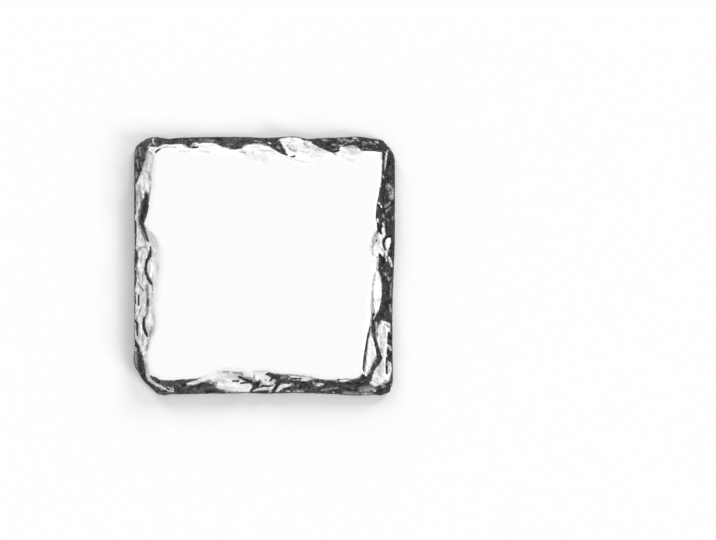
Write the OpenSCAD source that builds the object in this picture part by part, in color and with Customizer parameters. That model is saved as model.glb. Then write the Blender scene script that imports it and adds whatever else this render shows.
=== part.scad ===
/* [Slate] */
// Width of the slate square, left to right
slate_w = 100; // [85:1:140]
// Depth of the slate square, bottom to top
slate_l = 99; // [85:1:140]
// Thickness of the slate between its back and its face
slate_t = 6.5; // [5:0.1:10]

/* [Chipped rim] */
// Nominal width of the chipped rim, which both outlines are shares of
rim_w = 8; // [6:0.5:11]
// How far the split edge leans in from the back up to its lip
edge_lean = 0.5; // [0.2:0.1:1]
// Depth of a bare scoop below the slope around it
chip_depth = 0.7; // [0.3:0.1:1]
// Depth of a crack between two flakes
crack_depth = 0.5; // [0.2:0.1:0.8]

/* [White coat] */
// Thickness of the white coat
coat_t = 0.15; // [0.1:0.05:0.3]

/* [Hidden] */

// Facets around the small round corners of a patch
patch_fn = 8;
// Stations along each side of the rim, and steps from its lip up to its crease
stations = 46;
steps = 8;

// The four sides run counter-clockwise seen from above: bottom, right, top, left
sides = [0, 1, 2, 3];
bottom = 0;
right = 1;
top = 2;
left = 3;
half_w = slate_w / 2;
half_l = slate_l / 2;
side_starts = [[-half_w, -half_l], [half_w, -half_l], [half_w, half_l], [-half_w, half_l]];
side_ways = [[1, 0], [0, 1], [-1, 0], [0, -1]];
side_insides = [[0, 1], [-1, 0], [0, -1], [1, 0]];

// Corners in the same order, starting bottom left: [x inset, y inset] as shares of the rim width
edge_corner_shares = [[0.49, 0.61], [0.29, 0.23], [0.33, 0.56], [0.33, 0.38]];
crease_corner_shares = [[0.8, 0.95], [1.6, 1.04], [0.65, 0.8], [1.14, 0.75]];

// Outline of the back: [share of the way along the side, inset as a share of the rim width]
edge_shares = [
    [[0.07, 0.27], [0.085, 0.08], [0.12, 0], [0.3, 0.04], [0.44, 0.07], [0.5, 0.04], [0.62, 0.08],
        [0.75, 0.03], [0.87, 0], [0.93, 0]],
    [[0.03, 0.14], [0.06, 0.1], [0.2, 0.12], [0.34, 0.12], [0.42, 0.09], [0.49, 0.05], [0.56, 0.01],
        [0.65, 0], [0.9, 0], [0.916, 0.02], [0.93, 0.13], [0.945, 0.26]],
    [[0.042, 0.27], [0.058, 0.15], [0.09, 0.1], [0.14, 0], [0.21, 0.05], [0.29, 0.08], [0.34, 0.13],
        [0.365, 0.03], [0.4, 0], [0.49, 0.08], [0.56, 0.03], [0.7, 0.02], [0.82, 0.06], [0.87, 0.12],
        [0.9, 0.03], [0.94, 0.03]],
    [[0.05, 0.04], [0.085, 0], [0.3, 0], [0.42, 0.03], [0.5, 0], [0.8, 0.01], [0.88, 0.07], [0.91, 0.2],
        [0.93, 0.3]]
];

// Crease where the chips end and the flat face begins, written as above
crease_shares = [
    [[0.1, 0.76], [0.16, 0.71], [0.25, 0.83], [0.31, 1.14], [0.34, 1.19], [0.41, 1.11], [0.475, 1.16],
        [0.56, 1.04], [0.62, 1], [0.66, 0.9], [0.73, 0.76], [0.79, 0.76], [0.85, 0.8]],
    [[0.135, 1.53], [0.2, 1.39], [0.31, 1.17], [0.38, 1.15], [0.45, 1.03], [0.51, 0.88], [0.54, 0.85],
        [0.56, 1.08], [0.59, 1.15], [0.62, 1.03], [0.645, 0.81], [0.68, 0.93], [0.73, 0.88],
        [0.79, 0.74], [0.85, 0.69], [0.9, 0.65]],
    [[0.07, 0.73], [0.125, 0.7], [0.145, 1.05], [0.175, 1.13], [0.21, 1.02], [0.24, 0.95], [0.28, 1.1],
        [0.32, 1.28], [0.375, 1.13], [0.415, 0.97], [0.45, 1.06], [0.5, 1.18], [0.53, 1.13],
        [0.575, 0.94], [0.635, 0.73], [0.71, 0.77], [0.8, 0.7], [0.88, 0.63]],
    [[0.13, 0.92], [0.21, 0.85], [0.28, 0.71], [0.32, 0.59], [0.35, 0.5], [0.365, 0.76], [0.405, 1.14],
        [0.46, 1.28], [0.53, 1.26], [0.6, 1.14], [0.66, 1.02], [0.72, 1.11], [0.765, 1], [0.8, 0.8],
        [0.835, 0.66], [0.885, 0.76]]
];

// Height of the lip as a share of the thickness, keyed by the side's number
// plus the share of the way along it
lip_shares = [
    [0, 0.34], [0.25, 0.42], [0.4, 0.36], [0.6, 0.44], [0.85, 0.34],
    [1, 0.3], [1.1, 0.38], [1.3, 0.42], [1.5, 0.36], [1.7, 0.44], [1.9, 0.34],
    [2, 0.36], [2.15, 0.42], [2.35, 0.5], [2.45, 0.48], [2.6, 0.36], [2.85, 0.4],
    [3, 0.34], [3.2, 0.44], [3.4, 0.5], [3.6, 0.46], [3.8, 0.5], [3.9, 0.38],
    [4, 0.34]
];

// Power of the rise from the lip to the crease, below one for a brow that rounds over at the top
brow_share = 0.8;
// Flattening of a terrace, and how fast it fades with the width of the patch
terrace_flat_share = 0.75;
width_fade_share = 3;
// Reach of a stroke's pull, as a share of its half width
stroke_reach_share = 1.5;
// Lowest that a chip digs, as a share of the lip's height
dig_floor_share = 0.5;
// Hub of both flat sides, off the middle: [x, y] as shares of the rim width
hub_shares = [1, -0.3];

// Coated patches on the rim. Each is a stroke of spots:
// [share of the way along the side, inset and half width as shares of the rim width]
patch_shares = [
    [
        [[0.06, 0.71, 0.07], [0.08, 0.56, 0.06], [0.1, 0.43, 0.06], [0.122, 0.3, 0.05]],
        [[0.206, 0.55, 0.05], [0.225, 0.57, 0.08], [0.25, 0.7, 0.1], [0.29, 0.87, 0.13],
            [0.325, 0.94, 0.22]],
        [[0.31, 0.9, 0.22], [0.33, 0.72, 0.42], [0.367, 0.64, 0.46], [0.405, 0.58, 0.42],
            [0.44, 0.33, 0.2]],
        [[0.425, 1.04, 0.12], [0.463, 0.97, 0.2], [0.49, 0.86, 0.3], [0.51, 0.6, 0.3],
            [0.53, 0.34, 0.18]],
        [[0.54, 0.2, 0.05], [0.56, 0.38, 0.09], [0.585, 0.48, 0.08], [0.6, 0.5, 0.05]],
        [[0.6, 0.88, 0.05], [0.63, 0.86, 0.07], [0.655, 0.78, 0.11], [0.68, 0.84, 0.06]],
        [[0.685, 0.56, 0.05], [0.705, 0.48, 0.08], [0.725, 0.54, 0.05]],
        [[0.785, 0.71, 0.05], [0.8, 0.72, 0.07], [0.82, 0.76, 0.05]]
    ],
    [
        [[0.045, 1.13, 0.12], [0.06, 0.95, 0.28], [0.085, 0.72, 0.38], [0.11, 0.52, 0.25],
            [0.135, 0.54, 0.12]],
        [[0.065, 0.4, 0.12], [0.09, 0.25, 0.1], [0.122, 0.23, 0.06]],
        [[0.135, 0.54, 0.1], [0.17, 0.6, 0.2], [0.21, 0.61, 0.26], [0.25, 0.55, 0.3],
            [0.285, 0.4, 0.12]],
        [[0.078, 1.43, 0.06], [0.12, 1.27, 0.14], [0.16, 1.12, 0.23], [0.2, 1.12, 0.2],
            [0.24, 1.12, 0.09]],
        [[0.315, 0.94, 0.05], [0.35, 0.86, 0.18], [0.4, 0.86, 0.2], [0.44, 0.87, 0.17],
            [0.475, 0.85, 0.07]],
        [[0.54, 0.7, 0.12], [0.56, 0.84, 0.33], [0.585, 0.86, 0.28], [0.612, 0.7, 0.2],
            [0.64, 0.6, 0.08]],
        [[0.556, 0.36, 0.06], [0.58, 0.38, 0.13], [0.605, 0.32, 0.1]],
        [[0.868, 0.53, 0.05], [0.9, 0.47, 0.06], [0.937, 0.41, 0.06]],
        [[0.765, 0.17, 0.07], [0.79, 0.19, 0.08], [0.812, 0.16, 0.07]]
    ],
    [
        [[0.135, 0.86, 0.22], [0.157, 0.82, 0.36], [0.195, 0.8, 0.33], [0.228, 0.92, 0.22],
            [0.27, 0.93, 0.33]],
        [[0.27, 0.93, 0.33], [0.31, 0.82, 0.46], [0.36, 0.62, 0.6], [0.39, 0.56, 0.56],
            [0.425, 0.3, 0.26]],
        [[0.145, 0.13, 0.08], [0.165, 0.15, 0.1], [0.19, 0.27, 0.06], [0.215, 0.34, 0.05]],
        [[0.428, 0.88, 0.08], [0.45, 0.9, 0.16], [0.48, 0.85, 0.33], [0.52, 0.8, 0.4],
            [0.56, 0.74, 0.32], [0.6, 0.74, 0.1]],
        [[0.6, 0.74, 0.1], [0.65, 0.71, 0.12], [0.68, 0.66, 0.2], [0.705, 0.58, 0.28],
            [0.735, 0.6, 0.25], [0.76, 0.6, 0.2]],
        [[0.76, 0.62, 0.14], [0.82, 0.56, 0.14], [0.88, 0.53, 0.12], [0.91, 0.58, 0.09],
            [0.94, 0.64, 0.1]]
    ],
    [
        [[0.055, 0.94, 0.18], [0.13, 0.7, 0.24], [0.18, 0.5, 0.36], [0.22, 0.4, 0.34]],
        [[0.196, 0.14, 0.07], [0.25, 0.22, 0.15], [0.285, 0.17, 0.1], [0.33, 0.12, 0.08]],
        [[0.33, 0.14, 0.1], [0.4, 0.28, 0.26], [0.5, 0.34, 0.3], [0.6, 0.32, 0.28], [0.7, 0.3, 0.26],
            [0.78, 0.42, 0.2], [0.84, 0.55, 0.1]],
        [[0.365, 0.68, 0.12], [0.42, 0.88, 0.28], [0.5, 0.94, 0.34], [0.6, 0.84, 0.32],
            [0.7, 0.78, 0.34], [0.78, 0.7, 0.24], [0.84, 0.58, 0.12]],
        [[0.84, 0.6, 0.11], [0.89, 0.68, 0.11], [0.94, 0.7, 0.12]]
    ]
];

// Bare cracks between and across the patches, written as above
crack_shares = [
    [
        [[0.405, 0.9, 0.04], [0.425, 0.78, 0.05], [0.45, 0.64, 0.06]],
        [[0.442, 0.16, 0.05], [0.463, 0.4, 0.09], [0.484, 0.65, 0.07]],
        [[0.49, 0.45, 0.04], [0.53, 0.42, 0.04]],
        [[0.285, 0.6, 0.07], [0.315, 0.52, 0.08]]
    ],
    [
        [[0.085, 0.4, 0.04], [0.12, 0.39, 0.05], [0.16, 0.36, 0.08]],
        [[0.185, 0.33, 0.06], [0.215, 0.3, 0.08], [0.237, 0.24, 0.06]],
        [[0.565, 0.52, 0.04], [0.59, 0.57, 0.05], [0.61, 0.54, 0.05]]
    ],
    [
        [[0.384, 0.99, 0.03], [0.4, 1, 0.04]],
        [[0.765, 0.55, 0.05], [0.785, 0.56, 0.05], [0.79, 0.42, 0.05]],
        [[0.905, 0.66, 0.03], [0.915, 0.78, 0.04]]
    ],
    [
        [[0.224, 0.61, 0.09], [0.25, 0.6, 0.1], [0.27, 0.55, 0.16], [0.295, 0.42, 0.22],
            [0.32, 0.42, 0.18], [0.345, 0.4, 0.08], [0.385, 0.6, 0.06], [0.409, 0.73, 0.05]],
        [[0.44, 0.79, 0.04], [0.463, 0.78, 0.08], [0.49, 0.63, 0.05], [0.517, 0.57, 0.06],
            [0.545, 0.62, 0.06], [0.575, 0.86, 0.05]],
        [[0.58, 0.61, 0.04], [0.63, 0.68, 0.05], [0.687, 0.65, 0.04], [0.72, 0.46, 0.05],
            [0.75, 0.52, 0.06], [0.77, 0.63, 0.06]],
        [[0.44, 0.08, 0.06], [0.47, 0.14, 0.11], [0.5, 0.05, 0.07]],
        [[0.715, 0.1, 0.05], [0.73, 0.18, 0.06], [0.765, 0.15, 0.06]],
        [[0.79, 0.16, 0.06], [0.82, 0.24, 0.07], [0.85, 0.38, 0.12]]
    ]
];

// Bare scoops outside the patches, written as above
chip_shares = [
    [
        [[0.13, 0.3, 0.14], [0.17, 0.28, 0.26], [0.21, 0.26, 0.2]],
        [[0.2, 0.2, 0.12], [0.26, 0.16, 0.22], [0.32, 0.12, 0.14]],
        [[0.59, 0.66, 0.12], [0.66, 0.56, 0.26], [0.73, 0.36, 0.16]],
        [[0.67, 0.16, 0.12], [0.73, 0.2, 0.2], [0.79, 0.26, 0.12]],
        [[0.83, 0.46, 0.16], [0.87, 0.46, 0.32], [0.92, 0.5, 0.16]]
    ],
    [
        [[0.28, 0.5, 0.14], [0.35, 0.46, 0.3], [0.43, 0.4, 0.2]],
        [[0.42, 0.24, 0.12], [0.47, 0.4, 0.24], [0.52, 0.5, 0.16]],
        [[0.66, 0.5, 0.14], [0.72, 0.48, 0.28], [0.78, 0.46, 0.14]],
        [[0.78, 0.34, 0.12], [0.84, 0.3, 0.24], [0.9, 0.26, 0.14]]
    ],
    [
        [[0.05, 0.44, 0.16], [0.09, 0.4, 0.26], [0.125, 0.36, 0.2]],
        [[0.22, 0.3, 0.14], [0.27, 0.24, 0.22], [0.33, 0.14, 0.1]],
        [[0.5, 0.2, 0.12], [0.56, 0.24, 0.2], [0.62, 0.34, 0.16]],
        [[0.62, 0.28, 0.16], [0.67, 0.26, 0.24], [0.74, 0.16, 0.14]],
        [[0.8, 0.22, 0.14], [0.86, 0.26, 0.2], [0.92, 0.28, 0.16]]
    ],
    [
        [[0.06, 0.3, 0.2], [0.1, 0.28, 0.3], [0.16, 0.14, 0.16]],
        [[0.88, 0.38, 0.16], [0.92, 0.42, 0.24], [0.95, 0.5, 0.2]]
    ]
];

// Length of a side
function side_len(side) = side % 2 == 0 ? slate_w : slate_l;

// Place at a share of the way along a side, inset by a share of the rim width
function place(side, along, inset) =
    side_starts[side] + side_ways[side] * along * side_len(side) + side_insides[side] * inset * rim_w;

// First and last row of a side's outline, from the corners that it runs between
function side_ends(side, corners) =
    let (first = corners[side], last = corners[(side + 1) % len(sides)], across = side % 2)
    [[first[across] * rim_w / side_len(side), first[1 - across]],
        [1 - last[across] * rim_w / side_len(side), last[1 - across]]];

// Point of an outline at share f of the side between its corners
function outline_point(side, f, corners, rows) =
    let (ends = side_ends(side, corners), along = ends[0][0] + f * (ends[1][0] - ends[0][0]))
    place(side, along, lookup(along, concat([ends[0]], rows[side], [ends[1]])));

function edge_point(side, f) = outline_point(side, f, edge_corner_shares, edge_shares);
function crease_point(side, f) = outline_point(side, f, crease_corner_shares, crease_shares);
function lip_point(side, f) =
    let (edge = edge_point(side, f), way = crease_point(side, f) - edge)
    edge + way / norm(way) * edge_lean;

// Each pair of neighbouring spots of a table's strokes as a limb:
// [place, half width, place, half width]
function limbs(strokes) =
    [for (side = sides) for (stroke = strokes[side]) for (i = [0 : len(stroke) - 2])
        let (a = stroke[i], b = stroke[i + 1])
        [place(side, a[0], a[1]), a[2] * rim_w, place(side, b[0], b[1]), b[2] * rim_w]];
patch_limbs = limbs(patch_shares);
crack_limbs = limbs(crack_shares);
chip_limbs = limbs(chip_shares);

// One in the middle of a limb, none well outside it
function cover(p, limb) =
    let (run = limb[2] - limb[0], f = max(0, min(1, (p - limb[0]) * run / (run * run))))
    let (off = norm(p - limb[0] - run * f) / (limb[1] + (limb[3] - limb[1]) * f))
    max(0, min(1, stroke_reach_share - off));
function most_cover(p, limbs) = max([for (limb = limbs) cover(p, limb)]);

// Pull of each patch towards its own even level, weaker on wide ones, summed over the limbs
function flattened(p, u, lip, i = 0, pull = 0, sum = 0) =
    i == len(patch_limbs) ? [pull, sum] :
    let (limb = patch_limbs[i], c = cover(p, limb) / (1 + width_fade_share * limb[1] / rim_w))
    c == 0 ? flattened(p, u, lip, i + 1, pull, sum) :
    flattened(p, u, lip, i + 1, pull + c, sum + c * limb_share(limb));
function limb_share(limb) = rim_share((limb[0] + limb[2]) / 2);

// Share of the rim's nominal width that a place lies in from the nearest side
function rim_share(p) = min(half_w - abs(p[0]), half_l - abs(p[1])) / rim_w;

// Height of the plain slope at share u of the way from the lip to the crease
function slope_height(u, lip) = lip + (slate_t - lip) * pow(max(0, min(1, u)), brow_share);

// Height once the terraces are flat and the cracks and scoops are dug
function chipped_height(p, u, lip) =
    let (near = flattened(p, u, lip), own = rim_share(p))
    let (lift = near[0] == 0 ? 0 : (near[1] / near[0] - own) * min(1, near[0]))
    let (level = u + lift * terrace_flat_share)
    let (dug = most_cover(p, crack_limbs) * crack_depth + most_cover(p, chip_limbs) * chip_depth)
    max(lip * dig_floor_share, slope_height(level, lip) - dug);

// Point of the rim's surface at share f of a side and share u from its lip to its crease
function rim_point(side, f, u) =
    let (p = lip_point(side, f) * (1 - u) + crease_point(side, f) * u)
    let (lip = slate_t * lookup(side + f, lip_shares))
    [p[0], p[1], u == 1 ? slate_t : chipped_height(p, u, lip)];

// The whole surface of the rim as side, station and step
rim_grid = [for (side = sides)
    [for (i = [0 : stations])
        [for (r = [0 : steps])
            rim_point(side, i / stations, r / steps)]]];

// Flat face inside the crease
crease_outline = [for (side = sides)
    for (i = [0 : stations - 1])
        let (p = rim_grid[side][i][steps])
        [p[0], p[1]]];

// Two triangles of a grid between stations a and b, numbered so that they face up
function grid_faces(a, b, r) = [[a + r, a + r + 1, b + r + 1], [a + r, b + r + 1, b + r]];

// One knapped slab: back outline, lip, chipped rim and face in one skin
module slate_body() {
    count = len(sides) * stations;
    rings = steps + 2;
    size = count * rings;
    hub = hub_shares * rim_w;
    skin = [for (side = sides) for (i = [0 : stations - 1])
        let (edge = edge_point(side, i / stations))
        for (p = concat([[edge[0], edge[1], 0]], rim_grid[side][i])) p];
    hubs = [[hub[0], hub[1], 0], [hub[0], hub[1], slate_t]];
    rim_faces = [for (i = [0 : count - 1]) for (r = [0 : rings - 2])
        for (face = grid_faces(i * rings, ((i + 1) % count) * rings, r)) face];
    back_faces = [for (i = [0 : count - 1]) [size, i * rings, ((i + 1) % count) * rings]];
    top_faces = [for (face = back_faces) [size + 1, face[2] + rings - 1, face[1] + rings - 1]];
    color("#4b4b4b")
        polyhedron(concat(skin, hubs), concat(rim_faces, back_faces, top_faces), convexity = 6);
}

// Even white film over the flat face
module face_coat() {
    color("#fdfdfd")
        translate([0, 0, slate_t])
            linear_extrude(coat_t)
                polygon(crease_outline);
}

// Film of the coat's thickness that lies on one side's chips
module rim_film(side) {
    rings = steps + 1;
    size = (stations + 1) * rings;
    low = [for (line = rim_grid[side]) for (p = line) p];
    high = [for (p = low) p + [0, 0, coat_t]];
    high_faces = [for (i = [0 : stations - 1]) for (r = [0 : steps - 1])
        for (face = grid_faces(size + i * rings, size + (i + 1) * rings, r)) face];
    low_faces = [for (face = high_faces) [face[2] - size, face[1] - size, face[0] - size]];
    lip_wall = [for (i = [0 : stations - 1])
        let (a = i * rings, b = a + rings)
        [a, a + size, b + size, b]];
    crease_wall = [for (i = [0 : stations - 1])
        let (a = i * rings + steps, b = a + rings)
        [b, b + size, a + size, a]];
    first_wall = [for (r = [0 : steps - 1]) [r + 1, r + 1 + size, r + size, r]];
    last_wall = [for (r = [0 : steps - 1])
        let (a = stations * rings + r)
        [a, a + size, a + 1 + size, a + 1]];
    polyhedron(concat(low, high),
        concat(high_faces, low_faces, lip_wall, crease_wall, first_wall, last_wall), convexity = 10);
}

// Upright cutter along one stroke, as wide at each spot as the table says
module stroke_cutter(side, stroke) {
    for (i = [0 : len(stroke) - 2])
        hull()
            for (spot = [stroke[i], stroke[i + 1]])
                translate(place(side, spot[0], spot[1]))
                    cylinder(h = 2 * slate_t, r = spot[2] * rim_w, $fn = patch_fn);
}

// Patches of coat on the flakes of one side, parted by its cracks
module rim_coat(side) {
    color("#efefef")
        intersection() {
            rim_film(side);
            difference() {
                union()
                    for (stroke = patch_shares[side])
                        stroke_cutter(side, stroke);
                translate([0, 0, -slate_t])
                    scale([1, 1, 2])
                        for (stroke = crack_shares[side])
                            stroke_cutter(side, stroke);
            }
        }
}

module rim_coat_left() {
    rim_coat(left);
}

module rim_coat_top() {
    rim_coat(top);
}

module rim_coat_right() {
    rim_coat(right);
}

module rim_coat_bottom() {
    rim_coat(bottom);
}

slate_body();
face_coat();
rim_coat_left();
rim_coat_top();
rim_coat_right();
rim_coat_bottom();
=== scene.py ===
import math

import bpy
import numpy as np
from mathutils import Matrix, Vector, noise
from mathutils.bvhtree import BVHTree


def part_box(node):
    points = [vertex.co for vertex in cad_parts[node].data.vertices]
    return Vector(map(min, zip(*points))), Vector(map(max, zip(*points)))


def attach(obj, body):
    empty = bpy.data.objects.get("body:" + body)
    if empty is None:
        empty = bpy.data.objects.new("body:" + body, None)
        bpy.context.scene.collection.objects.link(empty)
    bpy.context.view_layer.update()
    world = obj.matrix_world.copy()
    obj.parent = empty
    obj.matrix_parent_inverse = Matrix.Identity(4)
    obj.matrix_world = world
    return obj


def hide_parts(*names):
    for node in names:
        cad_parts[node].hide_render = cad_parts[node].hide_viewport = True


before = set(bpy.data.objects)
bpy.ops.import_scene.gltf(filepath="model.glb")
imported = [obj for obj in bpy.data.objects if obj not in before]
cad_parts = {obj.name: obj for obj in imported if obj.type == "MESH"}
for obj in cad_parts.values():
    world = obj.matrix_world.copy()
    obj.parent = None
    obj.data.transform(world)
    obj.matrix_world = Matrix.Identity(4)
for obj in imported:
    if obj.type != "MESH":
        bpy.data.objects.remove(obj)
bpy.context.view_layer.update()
mm = 0.001

# the slate lies on its back: +X is its right side, +Y its top side, and +Z comes out of the white face
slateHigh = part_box("slate_body")[1] / mm
faceLow, faceHigh = [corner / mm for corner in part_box("face_coat")]
halfWidth, halfLength = slateHigh.x, slateHigh.y
slateTop = slateHigh.z
coatThick = faceHigh.z - faceLow.z
sideNames = ["bottom", "right", "top", "left"]  # counter-clockwise, as the stations run
square = [(-1, -1), (1, -1), (1, 1), (-1, 1)]  # its corners, in that order

# the picture's frame, with the slate's middle left of its own and a little above it
picture = {"wide": 716, "high": 540, "pixelsPerMm": 2.61, "slateX": 264.6, "slateY": 265.5, "distance": 1.5,
           "sensor": 36}

rimMesh = {
    "stations": 1536,  # columns of points round the slate, halved again and again towards its middle
    "wallRings": 9,  # from the back's edge up to the lip
    "rimRings": 36,  # from the lip to the crease of the face
    "flatRings": 4,  # over the crease, onto the flat
    "flatWidth": 1.6,  # mm from the crease to the seam between the rim's coat and the face's
    "wallLean": 0.5,  # mm that the split wall leans in up to the lip
    "backSpacing": 0.9,  # mm between points on the back
    "topSpacing": 2.5,  # mm between points on the flat face
    "hiddenSpacing": 6,  # mm between points on the stone under the face's coat
    "undersideSpacing": 8,  # mm between points on that coat's underside
    # mm above the back and below the face at which rays find these, and columns that even them out
    "outline": (0.1, 1), "crease": (0.02, 1.2),
    "sharpAngle": 70,  # degrees between faces from which their edge shades as one
}
perSide = rimMesh["stations"] // len(sideNames)


def pairUp(a, b):
    return [(a[i], a[(i + 1) % len(a)], b[(i + 1) % len(b)], b[i]) for i in range(len(a))]


def surfaceOf(*names):  # rays on this tree find the CAD nodes' own surface, in mm
    points, faces = [], []
    for name in names:
        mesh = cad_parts[name].data
        first = len(points)
        points += [v.co / mm for v in mesh.vertices]
        faces += [[first + i for i in p.vertices] for p in mesh.polygons]
    return BVHTree.FromPolygons(points, faces)


def blurred(field, along, across):  # along wraps round the slate, across stops at the ends of a column
    for sigma, axis in ((along, 0), (across, 1)):
        reach = int(3 * sigma) + 1
        weights = np.exp(-0.5 * (np.arange(-reach, reach + 1) / max(sigma, 0.01)) ** 2)
        weights /= weights.sum()
        if axis == 0:
            field = sum(w * np.roll(field, k - reach, 0) for k, w in enumerate(weights))
        else:
            padded = np.pad(field, ((0, 0), (reach, reach)), mode="edge")
            field = sum(w * padded[:, k:k + field.shape[1]] for k, w in enumerate(weights))
    return field


seedShift = (7.31, 3.77, 5.19)  # moves the noise of each seed to a place of its own


def noisePlaces(points, size, seed):
    shift = Vector([seed * part for part in seedShift])
    return [Vector(p) + shift for p in (points.reshape(-1, 3) / np.array(size)).tolist()]


def noiseAt(points, size, seed, octaves=3):  # between about -1 and 1, with bumps of that size in mm
    values = [noise.fractal(p, 1, 2, octaves) for p in noisePlaces(points, size, seed)]
    return np.array(values).reshape(points.shape[:-1])


def scarsAt(points, size, seed):  # hollows with sharp ridges between them, 0 in a hollow's middle
    nearest = [noise.voronoi(p)[0][0] for p in noisePlaces(points, size, seed)]
    return np.minimum(nearest, 1).reshape(points.shape[:-1])


def bumps(plan, points):  # noise as a dictionary asks for it, in mm
    return noiseAt(points, plan["size"], plan["seed"], plan["octaves"]) * plan["deep"]


def withHeights(places, heights):
    return np.concatenate([places, heights[..., None]], axis=-1)


def insetOf(places):  # mm in from the nearest side of the slate's box
    return np.minimum(halfWidth - np.abs(places[..., 0]), halfLength - np.abs(places[..., 1]))


def roundTheSlate(depths):  # places on a drum as far round as the rim, so that noise can run along its sides
    turn = 2 * math.pi * np.arange(len(depths))[:, None] / len(depths) + np.zeros(depths.shape)
    radius = 4 * (halfWidth + halfLength) / (2 * math.pi)
    return np.stack([radius * np.cos(turn), radius * np.sin(turn), depths], axis=-1)


def eased(value, low, high):  # a soft step from 0 at low to 1 at high
    f = np.clip((value - low) / (high - low), 0, 1)
    return f * f * (3 - 2 * f)


def outside(places, strokes):  # mm from the border of strokes of (x, y, half width), below 0 inside them
    nearest = np.full(places.shape[:-1], np.inf)
    for (ax, ay, aWidth), (bx, by, bWidth) in [leg for stroke in strokes for leg in zip(stroke, stroke[1:])]:
        start, run = np.array((ax, ay)), np.array((bx - ax, by - ay))
        f = np.clip((places - start) @ run / (run @ run), 0, 1)
        gap = np.linalg.norm(places - start - f[..., None] * run, axis=-1)
        nearest = np.minimum(nearest, gap - aWidth - (bWidth - aWidth) * f)
    return nearest


# a stain fades out over this many half widths, and is even by one share and broken up by another
stainForm = {"spread": 2.2, "even": 0.75, "broken": 0.8}


def stain(places, strokes, broken):  # one along the strokes' middles, softly down to none past their borders
    shade = np.zeros(places.shape[:-1])
    for stroke in strokes:
        width = max(spot[2] for spot in stroke)
        gap = outside(places, [stroke]) + width
        shade = np.maximum(shade, 1 - eased(gap, 0, stainForm["spread"] * width))
    return shade * np.clip(stainForm["even"] + stainForm["broken"] * broken, 0, 1)


def addObject(name, data):
    made = bpy.data.objects.new(name, data)
    bpy.context.scene.collection.objects.link(made)
    return made


def makeMesh(name, points, faces, shades=None):
    mesh = bpy.data.meshes.new(name)
    mesh.from_pydata((np.array(points) * mm).tolist(), [], faces)
    mesh.update()
    mesh.shade_smooth()
    mesh.set_sharp_from_angle(angle=math.radians(rimMesh["sharpAngle"]))
    for label, values in (shades or {}).items():
        layer = mesh.attributes.new(label, "FLOAT", "POINT")
        layer.data.foreach_set("value", np.array(values, dtype=np.float32))
    return addObject(name, mesh)


# A flat side is closed with ever smaller rings. Each lies a stride further in, measured in gaps between the
# points, but at least the shortest share of the spacing, and is halved where the gaps get too small.
ringFill = {"fewest": 12, "halveBelow": 0.8, "stride": 1.2, "shortest": 0.35, "centre": 0.02}


def fillInward(points, faces, ring, spacing, heightAt, upward):
    reach = 1.0
    shape = np.array([points[i][:2] for i in ring])
    edge = float(np.abs(shape).max())
    made = []
    while len(ring) > ringFill["fewest"]:
        gap = 2 * math.pi * edge * reach / len(ring)
        halve = len(ring) % 2 == 0 and gap < spacing * ringFill["halveBelow"]
        reach -= min(max(gap * ringFill["stride"], spacing * ringFill["shortest"]), spacing) / edge
        if reach < ringFill["centre"]:
            break
        shape = shape[::2] if halve else shape
        first = len(points)
        heights = heightAt(shape * reach)
        points += [(x * reach, y * reach, z) for (x, y), z in zip(shape.tolist(), heights.tolist())]
        inner = list(range(first, len(points)))
        if halve:
            for i, here in enumerate(inner):
                left, middle, right = ring[2 * i], ring[2 * i + 1], ring[(2 * i + 2) % len(ring)]
                after = inner[(i + 1) % len(inner)]
                made += [(left, middle, here), (middle, after, here), (middle, right, after)]
        else:
            made += pairUp(ring, inner)
        ring = inner
    points.append((0, 0, float(heightAt(np.zeros((1, 2)))[0])))
    made += [(left, right, len(points) - 1) for left, right in zip(ring, ring[1:] + ring[:1])]
    faces += made if upward else [face[::-1] for face in made]


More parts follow.
